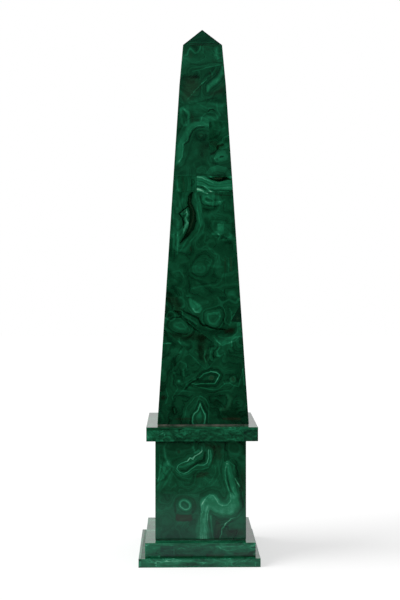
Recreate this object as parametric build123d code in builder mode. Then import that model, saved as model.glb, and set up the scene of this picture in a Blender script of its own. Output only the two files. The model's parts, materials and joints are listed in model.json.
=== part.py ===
from build123d import *
import os

# Obelisk faced all over with thin slabs of polished green stone.
# Plain core blocks stand one on another, and the facings are set on them.
# Millimetres, +Z up. The origin is the middle of the underside, and the front faces -Y.

# Thickness of the stone
facing = 5.0                     # upright facings
slab = 5.5                       # level slabs of the ledges
left_end = 5.0                   # lower plinth's end strips, which run the full depth
right_end = 9.0

# Heights, from the floor up
lower_plinth_height = 16.5
upper_plinth_height = 27.6
die_bed_height = 3.0
die_height = 191.9
collar_height = 26.9
shaft_bed_height = 3.3
shaft_height = 744.5
pyramidion_height = 38.8

# Widths of the square blocks
lower_plinth_width = 233.2
upper_plinth_width = 212.3
die_width = 175.8
collar_width = 214.6
shaft_foot_width = 177.1
shaft_bend_width = 91.9          # the taper steepens a little from here up
shaft_top_width = 77.5

# Heights within the shaft, above its foot
shaft_lower_course = 246.5
shaft_middle_course = 237.0
shaft_bend_height = 664.0

# Each block stands a little to the right of the middle of the lower plinth
upper_plinth_shift = 1.7
die_shift = 2.7
collar_shift = 5.2
shaft_shift = 7.4

# The beds are set back a little from the faces above them
bed_setback = 0.5

# Levels worked out from the heights
plinth_joint = lower_plinth_height
ledge = plinth_joint + upper_plinth_height
die_foot = ledge + die_bed_height
collar_foot = die_foot + die_height
collar_top = collar_foot + collar_height
shaft_foot = collar_top + shaft_bed_height
shaft_bend = shaft_foot + shaft_bend_height
shaft_top = shaft_foot + shaft_height
apex = shaft_top + pyramidion_height

turn_of_side = {"front": 0, "right": 90, "back": 180, "left": 270}

os.makedirs("parts", exist_ok=True)


def write(block, name):
    block.part.label = name
    export_step(block.part, f"parts/{name}.step")


def shaft_width(level):
    # width of the shaft's outer faces at a level
    if level <= shaft_bend:
        low, high = shaft_foot, shaft_bend
        wide, narrow = shaft_foot_width, shaft_bend_width
    else:
        low, high = shaft_bend, shaft_top
        wide, narrow = shaft_bend_width, shaft_top_width
    return wide + (narrow - wide) * (level - low) / (high - low)


def square_block(name, levels, centre):
    # a solid whose square section runs through the given (level, width) pairs
    with BuildPart() as block:
        for level, width in levels:
            with BuildSketch(Plane.XY.offset(level)):
                with Locations((centre, 0)):
                    Rectangle(width, width)
        loft(ruled=True)
    write(block, name)


def mitred_facings(name, levels, centre):
    # four facings round a block, mitred where they meet at the corners
    for side, turn in turn_of_side.items():
        with BuildPart() as panel:
            for level, width in levels:
                outer = width / 2
                inner = outer - facing
                with BuildSketch(Plane.XY.offset(level)):
                    with Locations((centre, 0)):
                        Polygon(
                            (-outer, -outer),
                            (outer, -outer),
                            (inner, -inner),
                            (-inner, -inner),
                            rotation=turn,
                            align=None,
                        )
            loft(ruled=True)
        write(panel, f"{name}_{side}")


def upright(low, high, width):
    # the two (level, width) pairs of a block with upright sides
    return [(low, width), (high, width)]


def inside(levels):
    # the same levels, inside the facings
    return [(level, width - 2 * facing) for level, width in levels]


# Lower plinth: the end strips show their ends at the front, and the other two
# strips stand between them. The level slab lies inside the four strips.
strip_length = lower_plinth_width - left_end - right_end
strip_centre = (left_end - right_end) / 2
half_lower = lower_plinth_width / 2

with BuildPart() as lower_plinth_left:
    with Locations((left_end / 2 - half_lower, 0)):
        Box(left_end, lower_plinth_width, lower_plinth_height, align=(Align.CENTER, Align.CENTER, Align.MIN))
write(lower_plinth_left, "lower_plinth_left")

with BuildPart() as lower_plinth_right:
    with Locations((half_lower - right_end / 2, 0)):
        Box(right_end, lower_plinth_width, lower_plinth_height, align=(Align.CENTER, Align.CENTER, Align.MIN))
write(lower_plinth_right, "lower_plinth_right")

for side, outwards in (("front", -1), ("back", 1)):
    with BuildPart() as strip:
        with Locations((strip_centre, outwards * (half_lower - facing / 2))):
            Box(strip_length, facing, lower_plinth_height, align=(Align.CENTER, Align.CENTER, Align.MIN))
    write(strip, f"lower_plinth_{side}")

with BuildPart() as lower_plinth_top:
    with BuildSketch(Plane.XY.offset(plinth_joint)):
        with Locations((strip_centre, 0)):
            Rectangle(strip_length, lower_plinth_width - 2 * facing)
    extrude(amount=-slab)
write(lower_plinth_top, "lower_plinth_top")

with BuildPart() as lower_plinth_core:
    with BuildSketch():
        with Locations((strip_centre, 0)):
            Rectangle(strip_length, lower_plinth_width - 2 * facing)
    extrude(amount=lower_plinth_height - slab)
write(lower_plinth_core, "lower_plinth_core")

# Upper plinth: one slab covers the core and the tops of its facings
upper_plinth_sides = upright(plinth_joint, ledge - slab, upper_plinth_width)
mitred_facings("upper_plinth", upper_plinth_sides, upper_plinth_shift)
square_block("upper_plinth_core", inside(upper_plinth_sides), upper_plinth_shift)
square_block("upper_plinth_top", upright(ledge - slab, ledge, upper_plinth_width), upper_plinth_shift)

# Die, on its bed
die_sides = upright(die_foot, collar_foot, die_width)
square_block("die_bed", upright(ledge, die_foot, die_width - 2 * bed_setback), die_shift)
mitred_facings("die", die_sides, die_shift)
square_block("die_core", inside(die_sides), die_shift)

# Collar: a slab on top, four edge facings, and a slab underneath between them
collar_sides = upright(collar_foot, collar_top - slab, collar_width)
mitred_facings("collar", collar_sides, collar_shift)
square_block(
    "collar_underside",
    inside(upright(collar_foot, collar_foot + slab, collar_width)),
    collar_shift,
)
square_block(
    "collar_core",
    inside(upright(collar_foot + slab, collar_top - slab, collar_width)),
    collar_shift,
)
square_block("collar_top", upright(collar_top - slab, collar_top, collar_width), collar_shift)

# Shaft, on its bed: three courses of facings on one core
square_block("shaft_bed", upright(collar_top, shaft_foot, shaft_foot_width - 2 * bed_setback), shaft_shift)

middle_joint = shaft_foot + shaft_lower_course
upper_joint = middle_joint + shaft_middle_course
shaft_courses = {
    "shaft_lower": [shaft_foot, middle_joint],
    "shaft_middle": [middle_joint, upper_joint],
    "shaft_upper": [upper_joint, shaft_bend, shaft_top],
}
for course, course_levels in shaft_courses.items():
    mitred_facings(course, [(level, shaft_width(level)) for level in course_levels], shaft_shift)

shaft_core_levels = [(level, shaft_width(level)) for level in (shaft_foot, shaft_bend, shaft_top)]
square_block("shaft_core", inside(shaft_core_levels), shaft_shift)

# Pyramidion: four triangular facings that meet at the apex, on a smaller pyramid
outer_half = shaft_top_width / 2
inner_half = outer_half - facing
core_apex = shaft_top + pyramidion_height * inner_half / outer_half

with BuildPart() as pyramidion_core:
    with BuildSketch(Plane.XY.offset(shaft_top)) as core_base:
        with Locations((shaft_shift, 0)):
            Rectangle(2 * inner_half, 2 * inner_half)
    loft(sections=[core_base.sketch.face(), Vertex(shaft_shift, 0, core_apex)])
write(pyramidion_core, "pyramidion_core")

for side, turn in turn_of_side.items():
    with BuildPart() as triangle:
        with BuildSketch(Plane.XY.offset(shaft_top)) as triangle_base:
            with Locations((shaft_shift, 0)):
                Polygon((-outer_half, -outer_half), (outer_half, -outer_half), (0, 0), rotation=turn, align=None)
        loft(sections=[triangle_base.sketch.face(), Vertex(shaft_shift, 0, apex)])
        add(pyramidion_core.part, mode=Mode.SUBTRACT)
    write(triangle, f"pyramidion_{side}")
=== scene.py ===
import json
import math
import random

import bmesh
import bpy
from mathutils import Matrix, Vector

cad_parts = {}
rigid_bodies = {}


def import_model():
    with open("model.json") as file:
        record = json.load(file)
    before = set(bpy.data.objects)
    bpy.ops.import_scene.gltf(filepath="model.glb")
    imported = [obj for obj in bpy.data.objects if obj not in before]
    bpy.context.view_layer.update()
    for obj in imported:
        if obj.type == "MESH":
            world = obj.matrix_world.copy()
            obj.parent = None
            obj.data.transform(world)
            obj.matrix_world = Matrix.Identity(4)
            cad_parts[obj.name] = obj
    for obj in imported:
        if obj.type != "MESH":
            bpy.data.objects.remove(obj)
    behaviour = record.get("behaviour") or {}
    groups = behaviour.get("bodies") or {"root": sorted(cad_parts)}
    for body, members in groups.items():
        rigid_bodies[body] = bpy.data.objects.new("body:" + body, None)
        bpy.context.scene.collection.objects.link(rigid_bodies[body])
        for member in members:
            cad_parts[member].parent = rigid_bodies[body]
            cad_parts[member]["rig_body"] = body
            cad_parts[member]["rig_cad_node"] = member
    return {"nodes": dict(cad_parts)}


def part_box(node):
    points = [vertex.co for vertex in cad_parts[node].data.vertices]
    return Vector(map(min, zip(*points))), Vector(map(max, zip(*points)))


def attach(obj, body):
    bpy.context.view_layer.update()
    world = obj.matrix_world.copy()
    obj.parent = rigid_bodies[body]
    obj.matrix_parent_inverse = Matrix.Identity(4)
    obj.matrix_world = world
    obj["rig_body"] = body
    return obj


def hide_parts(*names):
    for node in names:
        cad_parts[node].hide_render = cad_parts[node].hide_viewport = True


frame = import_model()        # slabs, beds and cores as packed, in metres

mm = 0.001
up = Vector((0, 0, 1))
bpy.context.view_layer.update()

# Which way each side faces, and which way its pattern is measured
sides = {
    "front": {"out": Vector((0, -1, 0)), "along": Vector((1, 0, 0))},
    "right": {"out": Vector((1, 0, 0)), "along": Vector((0, 1, 0))},
    "back": {"out": Vector((0, 1, 0)), "along": Vector((-1, 0, 0))},
    "left": {"out": Vector((-1, 0, 0)), "along": Vector((0, -1, 0))},
}


# Camera
cameraSet = {
    "lens": 63.57,
    "distance": 2.1384,      # from the obelisk's axis
    "aside": 0.00085,
    "height": 0.5653,
    "turn": 0.0189,          # the obelisk stands a little turned to the camera
    "shift": (0.0018, -0.048),
}


def setCamera():
    turn = cameraSet["turn"]
    reach = cameraSet["distance"]
    place = (cameraSet["aside"] - reach * math.sin(turn), -reach * math.cos(turn), cameraSet["height"])
    bpy.ops.object.camera_add(location=place, rotation=(math.pi / 2, 0, -turn))
    camera = bpy.context.object
    camera.name = "studioCamera"
    camera.data.lens = cameraSet["lens"]
    camera.data.shift_x, camera.data.shift_y = cameraSet["shift"]
    bpy.context.scene.camera = camera


# Node helpers
def feed(tree, socket, value):
    if isinstance(value, bpy.types.NodeSocket):
        tree.links.new(value, socket)
    elif value is not None:
        socket.default_value = value


def put(tree, kind, inputs=None, **settings):
    node = tree.nodes.new(kind)
    for name, value in settings.items():
        setattr(node, name, value)
    for name, value in (inputs or {}).items():
        feed(tree, node.inputs[name], value)
    return node


def calc(tree, operation, *values):
    node = put(tree, "ShaderNodeMath", operation=operation)
    for socket, value in zip(node.inputs, values):
        feed(tree, socket, value)
    return node.outputs[0]


def calcVector(tree, operation, *values):
    node = put(tree, "ShaderNodeVectorMath", operation=operation)
    for socket, value in zip(node.inputs, values):
        feed(tree, socket, value)
    isValue = operation in ("DOT_PRODUCT", "LENGTH", "DISTANCE")
    return node.outputs["Value" if isValue else "Vector"]


def scaled(tree, vector, factor):
    inputs = {"Vector": vector, "Scale": factor}
    return put(tree, "ShaderNodeVectorMath", inputs, operation="SCALE").outputs["Vector"]


def eased(tree, value, start, end, atStart, atEnd):
    limits = {"Value": value, "From Min": start, "From Max": end, "To Min": atStart, "To Max": atEnd}
    node = put(tree, "ShaderNodeMapRange", limits, interpolation_type="SMOOTHSTEP", clamp=False)
    return node.outputs["Result"]


def within(tree, value):
    # held between 0 and 1
    return calc(tree, "MAXIMUM", calc(tree, "MINIMUM", value, 1.0), 0.0)


def noise(tree, place, scale, detail=2.0, roughness=0.5, line=False):
    # three-way noise, or noise along one line for bands
    settings = {"Scale": scale, "Detail": detail, "Roughness": roughness, "W" if line else "Vector": place}
    return put(tree, "ShaderNodeTexNoise", settings, noise_dimensions="1D" if line else "3D").outputs


def swing(tree, *settings, **more):
    # noise that swings to both sides of nothing
    return calc(tree, "SUBTRACT", noise(tree, *settings, **more)["Fac"], 0.5)


def swingAbout(tree, *settings):
    # the same in every direction
    return calcVector(tree, "SUBTRACT", noise(tree, *settings)["Color"], (0.5, 0.5, 0.5))


def mixColour(tree, factor, first, second):
    # the mix node's colour sockets are 6 and 7, and its colour output is 2
    node = put(tree, "ShaderNodeMix", data_type="RGBA")
    for socket, value in {0: factor, 6: first, 7: second}.items():
        feed(tree, node.inputs[socket], value)
    return node.outputs[2]


def newGroup(name, inputs, outputs):
    # a node group, its sockets listed by kind
    kinds = {"value": "NodeSocketFloat", "vector": "NodeSocketVector", "colour": "NodeSocketColor"}
    tree = bpy.data.node_groups.new(name, "ShaderNodeTree")
    for way, sockets in {"INPUT": inputs, "OUTPUT": outputs}.items():
        for kind, labels in sockets.items():
            for label in labels:
                tree.interface.new_socket(label, in_out=way, socket_type=kinds[kind])
    return tree, put(tree, "NodeGroupInput").outputs, put(tree, "NodeGroupOutput").inputs


def useGroup(tree, group, **inputs):
    return put(tree, "ShaderNodeGroup", inputs, node_tree=group).outputs


def paint(red, green, blue):
    # a paint-chart colour from 0 to 255, as the shader wants it
    levels = [c / 255 for c in (red, green, blue)]
    return (*[c / 12.92 if c <= 0.04045 else ((c + 0.055) / 1.055) ** 2.4 for c in levels], 1)


def paintRamp(tree, factor, stops):
    node = put(tree, "ShaderNodeValToRGB", {"Fac": factor})
    marks = node.color_ramp.elements
    while len(marks) < len(stops):
        marks.new(1.0)
    for mark, stop in zip(marks, stops):
        mark.position = stop[0]
    for mark, stop in zip(marks, stops):
        mark.color = paint(*stop[1])
    return node.outputs["Color"]


# Effects that all the stones share, measured in millimetres
patternStart = Vector((0.85, 0, 0.7)) * mm       # where the figures and saw cuts are measured from
stoneLayer = 100.0           # between the layers that keep the stones' patterns apart
farAway = 300.0              # how far the nearest figure is on a stone that has none

strokeEdge = {
    "from": 0.15,            # a line fades between these shares of its width
    "to": 0.85,
}
lineWobble = {
    "broad": 0.035,          # scale
    "narrow": 0.16,
    "narrowShare": 0.45,     # strength beside the broad one
}
malachiteGrowth = {
    "bigSwirl": 0.02,        # scale
    "bigReach": 46.0,
    "smallSwirl": 0.07,
    "smallReach": 13.0,
    "cellSmoothness": 0.35,
    "followed": (2.0, 26.0),     # bands leave a figure's outline between these distances
    "gapLimits": (-4.0, 200.0),
    "stoneShift": 3.7,       # moves the bands from stone to stone
    "wideBands": 0.13,
    "fineBands": 0.42,
    "fineShare": 0.6,
    "clouds": 0.016,
    "cloudEdges": (0.32, 0.68),
    "clearings": 0.03,       # where fine lines come and go
    "clearEdges": (0.42, 0.62),
    "faintest": 0.15,
    "lineSlope": 5.0,
    "linePower": 3.0,
    "grain": 0.6,
    "grainTone": 0.10,
    "grainRoughness": 0.12,
    "roughness": 0.16,
    "flecks": 0.15,
}
# Colours of the stone from its blackest to its palest bands
malachiteTones = [
    (0.0, (0, 9, 3)),
    (0.15, (1, 25, 10)),
    (0.3, (3, 43, 24)),
    (0.45, (8, 60, 36)),
    (0.6, (14, 78, 51)),
    (0.75, (20, 100, 67)),
    (0.88, (50, 132, 100)),
    (1.0, (120, 182, 150)),
]


def makeStrokeGroup():
    # how far a place is from a tapering stroke between two points
    inputs = {"vector": ("Place", "Start", "Run"), "value": ("Share", "Radius", "Widening")}
    tree, take, give = newGroup("strokeDistance", inputs, {"value": ("Distance",)})
    fromStart = calcVector(tree, "SUBTRACT", take["Place"], take["Start"])
    reach = calcVector(tree, "DOT_PRODUCT", fromStart, take["Run"])
    share = within(tree, calc(tree, "MULTIPLY", reach, take["Share"]))
    gap = calcVector(tree, "DISTANCE", fromStart, scaled(tree, take["Run"], share))
    radius = calc(tree, "MULTIPLY_ADD", share, take["Widening"], take["Radius"])
    feed(tree, give["Distance"], calc(tree, "SUBTRACT", gap, radius))
    return tree


def makeMarkGroup():
    # tone that a figure adds: a line along its edge and a filling inside it
    inputs = {"value": ("Distance", "Line", "Width", "Fill", "Soft")}
    tree, take, give = newGroup("figureMark", inputs, {"value": ("Tone",)})
    offEdge = calc(tree, "ABSOLUTE", take["Distance"])
    lineStart = calc(tree, "MULTIPLY", take["Width"], strokeEdge["from"])
    lineEnd = calc(tree, "MULTIPLY", take["Width"], strokeEdge["to"])
    line = eased(tree, offEdge, lineStart, lineEnd, take["Line"], 0.0)
    half = calc(tree, "MULTIPLY", take["Soft"], 0.5)
    inner = calc(tree, "MULTIPLY", half, -1.0)
    filling = eased(tree, take["Distance"], inner, half, take["Fill"], 0.0)
    feed(tree, give["Tone"], calc(tree, "ADD", line, filling))
    return tree


def makePlaceGroup():
    # where a point lies on its side: along, up, and one layer for each stone
    inputs = {"vector": ("Along", "Rise"), "value": ("Wander",)}
    tree, take, give = newGroup("stonePlace", inputs, {"vector": ("Place", "Wandered")})
    spot = put(tree, "ShaderNodeTexCoord").outputs["Object"]
    stone = put(tree, "ShaderNodeAttribute", attribute_name="stone").outputs["Fac"]
    inMm = scaled(tree, calcVector(tree, "SUBTRACT", spot, patternStart), 1 / mm)
    across = calcVector(tree, "DOT_PRODUCT", inMm, take["Along"])
    height = calcVector(tree, "DOT_PRODUCT", inMm, take["Rise"])
    layer = calc(tree, "MULTIPLY", stone, stoneLayer)
    place = put(tree, "ShaderNodeCombineXYZ", {"X": across, "Y": height, "Z": layer}).outputs[0]
    # lines in the stone wobble a little, at two scales, and stay on their own layer
    share = lineWobble["narrowShare"]
    broad = calcVector(tree, "MULTIPLY", swingAbout(tree, place, lineWobble["broad"], 1.0), (1.0, 1.0, 0.0))
    both = calcVector(tree, "MULTIPLY_ADD", swingAbout(tree, place, lineWobble["narrow"], 2.0),
                      (share, share, 0.0), broad)
    feed(tree, give["Place"], place)
    feed(tree, give["Wandered"], calcVector(tree, "ADD", place, scaled(tree, both, take["Wander"])))
    return tree


def makeMalachiteGroup():
    # banded green stone: slow clouds, nested growth bands, fine lines and grain
    growth = malachiteGrowth
    values = ("Near", "Tone", "Marks", "Clouds", "Bands", "Lines", "Cell", "Flecks")
    tree, take, give = newGroup("malachite", {"vector": ("Place", "Stretch"), "value": values},
                                {"colour": ("Colour",), "value": ("Rough",)})
    drawn = calcVector(tree, "MULTIPLY", take["Place"], take["Stretch"])
    big, small = growth["bigReach"], growth["smallReach"]
    turned = calcVector(tree, "MULTIPLY", swingAbout(tree, drawn, growth["smallSwirl"]), (small, small, 0.0))
    swirl = calcVector(tree, "MULTIPLY_ADD", swingAbout(tree, drawn, growth["bigSwirl"]),
                       (big, big, 0.0), turned)
    curled = calcVector(tree, "ADD", drawn, swirl)
    inputs = {"Vector": curled, "Scale": take["Cell"], "Smoothness": growth["cellSmoothness"]}
    cells = put(tree, "ShaderNodeTexVoronoi", inputs, feature="SMOOTH_F1")
    grown = calc(tree, "DIVIDE", cells.outputs["Distance"], take["Cell"])
    # near a figure the bands follow its outline
    follow = eased(tree, take["Near"], *growth["followed"], 1.0, 0.0)
    least, most = growth["gapLimits"]
    gap = calc(tree, "MAXIMUM", calc(tree, "MINIMUM", take["Near"], most), least)
    field = calc(tree, "ADD", calc(tree, "MULTIPLY", gap, follow), calc(
        tree, "MULTIPLY", grown, calc(tree, "SUBTRACT", 1.0, follow)))
    layer = put(tree, "ShaderNodeSeparateXYZ", {"Vector": take["Place"]}).outputs["Z"]
    offset = calc(tree, "ADD", field, calc(tree, "MULTIPLY", layer, growth["stoneShift"]))
    wide = swing(tree, offset, growth["wideBands"], 1.0, line=True)
    fine = swing(tree, offset, growth["fineBands"], 2.0, 0.6, line=True)
    cloud = eased(tree, noise(tree, curled, growth["clouds"], 3.0, 0.6)["Fac"],
                  *growth["cloudEdges"], -0.5, 0.5)
    # fine lines come and go from place to place
    clear = eased(tree, noise(tree, drawn, growth["clearings"])["Fac"], *growth["clearEdges"],
                  growth["faintest"], 1.0)
    slope = calc(tree, "ABSOLUTE", calc(tree, "MULTIPLY", fine, growth["lineSlope"]))
    ridge = calc(tree, "POWER", within(tree, calc(tree, "SUBTRACT", 1.0, slope)), growth["linePower"])
    shownFine = calc(tree, "MULTIPLY", fine, calc(tree, "MULTIPLY", clear, growth["fineShare"]))
    grain = swing(tree, drawn, growth["grain"], 3.0, 0.7)
    fleck = swing(tree, drawn, growth["flecks"], 3.0, 0.6)
    # each part of the pattern, with its strength
    parts = [(cloud, take["Clouds"]), (wide, take["Bands"]), (shownFine, take["Bands"]),
             (calc(tree, "MULTIPLY", ridge, clear), take["Lines"]), (grain, growth["grainTone"]),
             (fleck, take["Flecks"])]
    tone = take["Tone"]
    for part, strength in parts:
        tone = calc(tree, "MULTIPLY_ADD", part, strength, tone)
    tone = calc(tree, "ADD", tone, take["Marks"])
    feed(tree, give["Colour"], paintRamp(tree, tone, malachiteTones))
    rough = calc(tree, "MULTIPLY_ADD", grain, growth["grainRoughness"], growth["roughness"])
    feed(tree, give["Rough"], rough)
    return tree


strokeGroup = makeStrokeGroup()
markGroup = makeMarkGroup()
placeGroup = makePlaceGroup()
malachiteGroup = makeMalachiteGroup()
print("shared effects made")


# What a figure has unless it says otherwise, and how long a single dot is drawn
plainFigure = {"fill": 0.0, "soft": 3.0, "line": 0.0, "width": 1.5, "blend": 1.5}
dotLength = 0.1


def figureDistance(tree, place, path, stone, blend):
    # the nearest stroke of a figure; its corners melt together
    if len(path) == 1:
        x, z, radius = path[0]
        path = [(x, z, radius), (x + dotLength, z, radius)]
    distance = None
    for (x0, z0, r0), (x1, z1, r1) in zip(path, path[1:]):
        run = Vector((x1 - x0, z1 - z0, 0))
        start = (x0, z0, stone * stoneLayer)
        stroke = useGroup(tree, strokeGroup, Place=place, Start=start, Run=run,
                          Share=1 / run.length_squared, Radius=r0, Widening=r1 - r0)["Distance"]
        distance = stroke if distance is None else calc(tree, "SMOOTH_MIN", distance, stroke, blend)
    return distance


def drawFigures(tree, place, figures):
    # tone and brown that the figures add, and how far the nearest of them is
    tone, near, brown = None, None, None
    for stone, figure in [(stone, plainFigure | one) for stone, group in figures.items() for one in group]:
        distance = figureDistance(tree, place, figure["path"], stone, figure["blend"])
        mark = useGroup(tree, markGroup, Distance=distance, Line=figure["line"], Width=figure["width"],
                        Fill=figure["fill"], Soft=figure["soft"])["Tone"]
        tone = mark if tone is None else calc(tree, "ADD", tone, mark)
        if figure.get("leads"):
            near = distance if near is None else calc(tree, "MINIMUM", near, distance)
        if "brown" in figure:
            spread = figure["soft"] / 2
            stain = eased(tree, distance, -spread, spread, figure["brown"], 0.0)
            brown = stain if brown is None else calc(tree, "MAXIMUM", brown, stain)
    return tone, near, brown


def makeStone(name, along, rise, look, figures):
    # one polished stone finish, with its own figures
    material = bpy.data.materials.new(name)
    material.use_nodes = True
    tree = material.node_tree
    shader = tree.nodes["Principled BSDF"]
    places = useGroup(tree, placeGroup, Along=along, Rise=rise, Wander=look["wander"])
    tone, near, brown = drawFigures(tree, places["Wandered"], figures)
    own = put(tree, "ShaderNodeAttribute", attribute_name="tone").outputs["Fac"]
    grown = put(tree, "ShaderNodeMapping", {"Vector": places["Place"]})
    grown.inputs["Rotation"].default_value = (0, 0, -math.radians(look["grain"]))
    stone = useGroup(tree, malachiteGroup, Place=grown.outputs["Vector"], Stretch=look["stretch"],
                     Near=farAway if near is None else near, Tone=own,
                     Marks=0.0 if tone is None else calc(tree, "MULTIPLY", tone, look["marks"]),
                     Clouds=look["clouds"], Bands=look["bands"], Lines=look["lines"],
                     Cell=1 / look["cell"], Flecks=look["flecks"])
    colour = stone["Colour"]
    if brown is not None:
        colour = mixColour(tree, brown, colour, paint(*look["brown"]))
    bloom = put(tree, "ShaderNodeAttribute", attribute_name="bloom").outputs["Fac"]
    colour = mixColour(tree, bloom, colour, paint(*look["bloom"]))
    feed(tree, shader.inputs["Base Color"], colour)
    feed(tree, shader.inputs["Roughness"], stone["Rough"])
    shader.inputs["IOR"].default_value = look["gloss"]
    return material


stoneLook = {
    "wander": 4.0,
    "stretch": (1.0, 1.0, 1.0),
    "clouds": 0.26,
    "bands": 0.42,
    "lines": 0.16,
    "marks": 1.5,            # how strongly the figures show
    "grain": 0,              # turns the growth bands, in degrees
    "cell": 52.0,
    "flecks": 0.12,
    "gloss": 1.5,            # refraction index; less gives a duller surface
    "brown": (52, 50, 36),
    "bloom": (44, 88, 76),
}
frontLook = stoneLook | {"clouds": 0.13}
sideLook = stoneLook | {"clouds": 0.18, "wander": 7.0}
ledgeLook = stoneLook | {"wander": 2.0, "stretch": (0.4, 1.2, 1.0), "clouds": 0.25, "bands": 0.5,
                         "lines": 0.2, "cell": 18.0, "flecks": 0.55}
collarLook = ledgeLook | {"stretch": (0.85, 1.3, 1.0), "flecks": 0.8}
treadLook = ledgeLook | {"gloss": 1.2}
stepLook = ledgeLook | {"clouds": 0.15, "bands": 0.3}
pyramidionLook = stoneLook | {"stretch": (0.3, 1.8, 1.0), "grain": 35, "clouds": 0.15, "bands": 0.5,
                              "lines": 0.2, "cell": 24.0}


# Working the slabs
slabWork = {
    "kerf": 0.35,            # width of a joint between two stones
    "ease": 1.1,             # how far the polished arrises are taken back
    "edge": 0.45,            # the same on level edges
    "arris": 0.2,            # tone of the eased arrises
    "plain": 0.42,           # tone where a plan gives none
    "weld": 0.01,            # corners nearer than this are one corner
    "level": 0.3,            # faces that turn less than this, in degrees, are one face
    "reach": 0.05,           # how near a new corner lies to the one that is eased
}
fillerNumber = -1.0
facing = 0.9                 # a face with more of its normal than this along a way faces that way
leaning = 0.3                # the pyramid's faces lean back, down to this
square = 0.1                 # faces meet squarely below this


def stonesOf(piece):
    # the mesh in edit mode, and the layer that numbers its stones
    mesh = bmesh.from_edit_mesh(piece.data)
    return mesh, mesh.faces.layers.float["stone"]


def beginPiece(node, name):
    # a merged copy of a packed slab, in edit mode
    bpy.ops.object.select_all(action="DESELECT")
    source = frame["nodes"][node]
    source.select_set(True)
    bpy.context.view_layer.objects.active = source
    bpy.ops.object.duplicate()
    piece = bpy.context.object
    piece.name = piece.data.name = name
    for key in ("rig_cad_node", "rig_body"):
        if key in piece:
            del piece[key]
    bpy.ops.mesh.customdata_custom_splitnormals_clear()
    bpy.ops.object.shade_flat()
    bpy.ops.object.mode_set(mode="EDIT")
    bpy.ops.mesh.select_mode(type="FACE")
    bpy.ops.mesh.select_all(action="SELECT")
    bpy.ops.mesh.remove_doubles(threshold=slabWork["weld"] * mm)
    bpy.ops.mesh.dissolve_limited(angle_limit=math.radians(slabWork["level"]))
    return piece


def endPiece(piece, node, materials):
    bpy.ops.object.mode_set(mode="OBJECT")
    piece.data.materials.clear()
    for material in materials:
        piece.data.materials.append(material)
    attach(piece, "root")
    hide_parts(node)


def pickFaces(piece, wanted):
    mesh = bmesh.from_edit_mesh(piece.data)
    for face in mesh.faces:
        face.select_set(False)
    for face in [face for face in mesh.faces if wanted(face)]:
        face.select_set(True)
    bmesh.update_edit_mesh(piece.data)


def easeCorners(piece, side):
    # takes the upright arrises back, half on each side of the mitre
    along, out = sides[side]["along"], sides[side]["out"]
    mesh = bmesh.from_edit_mesh(piece.data)
    panels = []
    for face in mesh.faces:
        if face.normal.dot(out) > facing:
            corners = sorted((v.co.copy() for v in face.verts), key=lambda c: c.z)
            panels.append((corners, sum(c.dot(along) for c in corners) / len(corners)))
    rim = []
    for corners, middle in panels:
        for end in (-1, 1):
            low, high = [c for c in corners if (c.dot(along) - middle) * end > 0]
            start = low - along * end * slabWork["ease"] * mm
            pickFaces(piece, lambda face: face.normal.dot(out) > facing
                      and low.z < face.calc_center_median().z < high.z)
            bpy.ops.mesh.bisect(plane_co=start, plane_no=(high - low).cross(out).normalized())
            rim += [(low, end), (high, end)]
    bpy.ops.mesh.select_all(action="SELECT")
    bpy.ops.mesh.remove_doubles(threshold=slabWork["weld"] * mm)
    mesh = bmesh.from_edit_mesh(piece.data)
    for corner, end in dict.fromkeys((c.freeze(), e) for c, e in rim):
        nearest = min(mesh.verts, key=lambda v: (v.co - corner).length)
        if (nearest.co - corner).length < slabWork["reach"] * mm:
            nearest.co -= (along * end + out) * slabWork["ease"] * mm / 2
    bmesh.update_edit_mesh(piece.data)


def easeEdges(piece, wanted):
    # bevels the edges for which wanted(middle, first face, second face) holds
    bpy.ops.mesh.select_mode(type="EDGE")
    bpy.ops.mesh.select_all(action="DESELECT")
    mesh = bmesh.from_edit_mesh(piece.data)
    for edge in mesh.edges:
        middle = (edge.verts[0].co + edge.verts[1].co) / 2
        if len(edge.link_faces) == 2 and wanted(middle, *[f.normal for f in edge.link_faces]):
            edge.select_set(True)
    bmesh.update_edit_mesh(piece.data)
    bpy.ops.mesh.bevel(offset=slabWork["edge"] * mm, segments=2, affect="EDGES")
    bpy.ops.mesh.select_mode(type="FACE")


def numberStones(piece, wanted, first):
    # every face that shows starts as one stone
    mesh = bmesh.from_edit_mesh(piece.data)
    for name in ("stone", "tone", "bloom"):
        mesh.faces.layers.float.new(name)
    layer = mesh.faces.layers.float["stone"]
    for face in mesh.faces:
        face[layer] = first if wanted(face) else 0.0
    bmesh.update_edit_mesh(piece.data)


def sawStone(piece, side, stone, through, angle, above):
    # one straight saw cut across a stone; what lies above it becomes another stone
    along = sides[side]["along"]
    turn = math.radians(angle)
    normal = up * math.cos(turn) - along * math.sin(turn)
    middle = patternStart + along * through[0] * mm + up * through[1] * mm
    half = slabWork["kerf"] * mm / 2
    for shift in (-half, half):
        mesh, layer = stonesOf(piece)
        pickFaces(piece, lambda face: face[layer] in (stone, fillerNumber))
        bpy.ops.mesh.bisect(plane_co=middle + normal * shift, plane_no=normal)
    mesh, layer = stonesOf(piece)
    for face in mesh.faces:
        if face[layer] == stone:
            beyond = (face.calc_center_median() - middle).dot(normal)
            face[layer] = fillerNumber if abs(beyond) < half else above if beyond > 0 else stone
    bmesh.update_edit_mesh(piece.data)


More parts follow.
